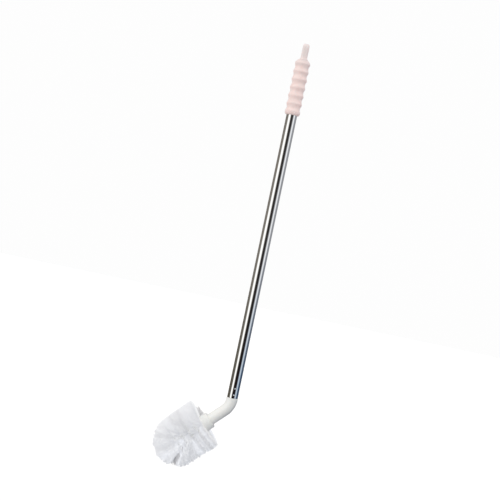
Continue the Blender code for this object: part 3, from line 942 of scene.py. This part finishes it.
def make_white_filament():
    """White see-through plastic; its faint glow is painted light, standing in for the light that
    filaments pass on to each other.
    """
    material, tree, shader = new_material("white_filament", IOR=1.49)
    run = new_node(tree, "Attribute", {}, attribute_name="run").outputs["Fac"]
    tone = new_node(tree, "Attribute", {}, attribute_name="tone").outputs["Fac"]
    shade = new_node(
        tree,
        "Mix",
        {0: tone, 6: (0.72, 0.708, 0.702, 1.0), 7: (0.98, 0.98, 0.985, 1.0)},
        data_type="RGBA",
    )
    root = new_node(tree, "MapRange", {"Value": run, "From Min": 0.35, "From Max": 0.0})
    colour = new_node(
        tree,
        "Mix",
        {0: root.outputs[0], 6: shade.outputs[2], 7: (0.95, 0.945, 0.93, 1.0)},
        data_type="RGBA",
    )
    place = new_node(tree, "TexCoord", {}).outputs["Object"]
    grain = new_node(tree, "TexNoise", {"Vector": place, "Scale": 2500.0, "Detail": 2.0})
    gloss = new_node(tree, "MapRange", {"Value": grain.outputs[0], "To Min": 0.34, "To Max": 0.55})
    tree.links.new(colour.outputs[2], shader.inputs["Base Color"])
    tree.links.new(gloss.outputs[0], shader.inputs["Roughness"])
    # Painted glow: darker and cooler on darker blades, so it carries their painted shade too.
    painted_glow = new_node(
        tree,
        "Mix",
        {0: tone, 6: (0.35, 0.365, 0.39, 1.0), 7: (0.91, 0.94, 1.0, 1.0)},
        data_type="RGBA",
    )
    tree.links.new(painted_glow.outputs[2], shader.inputs["Emission Color"])
    shader.inputs["Emission Strength"].default_value = 0.165
    return material


filament_mesh = make_filament_mesh()
white_filament = make_white_filament()
draw = random.Random(BRISTLE_SEED)
blades = {
    (side, facing): make_blades(side, draw) for side in ("upper", "lower") for facing in (True, False)
}
for cell in tuft_patches:
    name, hole, _, reach, _, half = cell
    width = 2 * half * envelope_place(cell, 0, 0).xy.length
    tuft_bm = make_tuft_bm(hole, lambda u, v: envelope_place(cell, u, v), (2 * reach, width), draw)
    tuft = finished(tuft_bm, "bristles_" + name, white_filament)
    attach(tuft, "brush_head")
    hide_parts("tuft_" + name)

tip_width = 2 * HEAD_RADIUS * TIP_ANGLE
tip_bm = make_tuft_bm(tip_hole, tip_place, (tip_width, tip_width), draw)
tip_tuft = finished(tip_bm, "bristles_tip", white_filament)
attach(tip_tuft, "brush_head")
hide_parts("tuft_tip")


# Studio
# A seamless pale floor well below the brush, a soft white dome that is brightest at the upper left,
# and dark, white and blue bands round the horizon that show only in reflections, as on the tube.

FLOOR_DROP = 0.30
FLOOR_SIZE = 12.0  # half its side
KEY_WAY = Vector((-0.42, -0.62, 0.66))  # towards the brightest part of the dome
DARK_WAY = Vector((0.62, -0.10, -0.78))  # towards the unlit part of the room
CAMERA_LENS = 85
CAMERA_PLACE = (-0.0195, -1.748, -0.3078)
CAMERA_ROLL = math.radians(11.887)
MIRRORED_HIGH = (  # bearing from the front in degrees, + towards +X, and what the tube sees there
    (-180, (0.22, 0.20, 0.18)),
    (-76, (0.235, 0.214, 0.188)),
    (-62, (1.32, 1.32, 1.31)),
    (-30, (1.32, 1.32, 1.31)),
    (-14, (0.14, 0.13, 0.12)),
    (-2, (0.030, 0.026, 0.024)),
    (26, (0.030, 0.026, 0.028)),
    (42, (0.36, 0.37, 0.39)),
    (54, (1.04, 1.06, 1.08)),
    (72, (1.02, 1.05, 1.10)),
    (86, (0.36, 0.37, 0.40)),
    (180, (0.28, 0.28, 0.30)),
)
MIRRORED_LOW = (  # the same for the tube's lower end
    (-180, (0.12, 0.11, 0.09)),
    (-68, (0.125, 0.113, 0.090)),
    (-53, (1.35, 1.35, 1.34)),
    (-34, (1.35, 1.34, 1.32)),
    (-18, (0.08, 0.07, 0.06)),
    (-8, (0.012, 0.009, 0.008)),
    (34, (0.014, 0.011, 0.013)),
    (47, (0.40, 0.48, 0.58)),
    (56, (0.66, 0.76, 0.88)),
    (68, (0.60, 0.71, 0.84)),
    (80, (0.14, 0.21, 0.32)),
    (100, (0.045, 0.075, 0.13)),
    (180, (0.08, 0.11, 0.18)),
)


def add_bands(tree, share, stops):
    """Colours round the horizon as a ramp."""
    bands = new_node(tree, "ValToRGB", {0: share})
    ramp = bands.color_ramp
    ramp.interpolation = "EASE"
    for number, (degrees, colour) in enumerate(stops):
        place = (degrees + 180) / 360
        stop = ramp.elements[number] if number < 2 else ramp.elements.new(place)
        stop.position = place
        stop.color = (*colour, 1.0)
    return bands.outputs[0]


def make_dome():
    """World light: plain white to the camera, a soft dome for light, and bands for mirrors."""
    world = bpy.data.worlds.new("studio")
    world.use_nodes = True
    tree = world.node_tree
    background = tree.nodes["Background"]
    direction = new_node(tree, "TexCoord", {}).outputs["Generated"]
    way = new_node(tree, "SeparateXYZ", {0: direction})
    front = new_node(tree, "Math", {0: way.outputs["Y"], 1: -1.0}, operation="MULTIPLY")
    bearing = new_node(tree, "Math", {0: way.outputs["X"], 1: front.outputs[0]}, operation="ARCTAN2")
    share = new_node(
        tree, "MapRange", {"Value": bearing.outputs[0], "From Min": -math.pi, "From Max": math.pi}
    )
    rise = new_node(tree, "MapRange", {"Value": way.outputs["Z"], "From Min": -0.10, "From Max": 0.09})
    bands = new_node(
        tree,
        "Mix",
        {
            0: rise.outputs[0],
            6: add_bands(tree, share.outputs[0], MIRRORED_LOW),
            7: add_bands(tree, share.outputs[0], MIRRORED_HIGH),
        },
        data_type="RGBA",
    )
    facing = new_node(
        tree, "VectorMath", {0: direction, 1: KEY_WAY.normalized()}, operation="DOT_PRODUCT"
    )
    lightness = new_node(
        tree, "MapRange", {"Value": facing.outputs["Value"], "From Min": -0.80, "From Max": 0.75}
    )
    soft = new_node(
        tree,
        "Mix",
        {0: lightness.outputs[0], 6: (0.59, 0.64, 0.73, 1.0), 7: (1.15, 1.14, 1.12, 1.0)},
        data_type="RGBA",
    )
    away = new_node(
        tree, "VectorMath", {0: direction, 1: DARK_WAY.normalized()}, operation="DOT_PRODUCT"
    )
    unlit = new_node(
        tree, "MapRange", {"Value": away.outputs["Value"], "From Min": 0.25, "From Max": 0.85}
    )
    dome = new_node(
        tree,
        "Mix",
        {0: unlit.outputs[0], 6: soft.outputs[2], 7: (0.02, 0.03, 0.05, 1.0)},
        data_type="RGBA",
    )
    rays = new_node(tree, "LightPath", {})
    lit = new_node(
        tree,
        "Mix",
        {0: rays.outputs["Is Glossy Ray"], 6: dome.outputs[2], 7: bands.outputs[2]},
        data_type="RGBA",
    )
    seen = new_node(
        tree,
        "Mix",
        {0: rays.outputs["Is Camera Ray"], 6: lit.outputs[2], 7: (0.985, 0.985, 0.985, 1.0)},
        data_type="RGBA",
    )
    tree.links.new(seen.outputs[2], background.inputs["Color"])
    return world


def make_floor():
    """One large pale face; its faint glow keeps it as bright as the room behind it."""
    material, tree, shader = new_material("pale_floor", Roughness=0.9)
    place = new_node(tree, "TexCoord", {}).outputs["Object"]
    grain = new_node(tree, "TexNoise", {"Vector": place, "Scale": 40.0, "Detail": 3.0})
    colour = new_node(
        tree,
        "Mix",
        {0: grain.outputs[0], 6: (0.86, 0.86, 0.86, 1.0), 7: (0.88, 0.88, 0.88, 1.0)},
        data_type="RGBA",
    )
    tree.links.new(colour.outputs[2], shader.inputs["Base Color"])
    shader.inputs["Emission Color"].default_value = (1.0, 0.97, 0.92, 1.0)
    shader.inputs["Emission Strength"].default_value = 0.22
    bm = bmesh.new()
    bmesh.ops.create_grid(
        bm,
        x_segments=1,
        y_segments=1,
        size=FLOOR_SIZE,
        matrix=Matrix.Translation((0, 0, cad_box[0].z - FLOOR_DROP)),
    )
    return finished(bm, "floor", material)


bpy.context.scene.world = make_dome()
floor = make_floor()
floor.visible_glossy = False
floor.visible_diffuse = False

camera_data = bpy.data.cameras.new("camera")
camera_data.lens = CAMERA_LENS
camera = bpy.data.objects.new("camera", camera_data)
bpy.context.scene.collection.objects.link(camera)
camera.matrix_world = (
    Matrix.Translation(CAMERA_PLACE)
    @ Matrix.Rotation(math.radians(90), 4, "X")
    @ Matrix.Rotation(CAMERA_ROLL, 4, "Z")
)
bpy.context.scene.camera = camera
bpy.context.scene.view_settings.view_transform = "Standard"
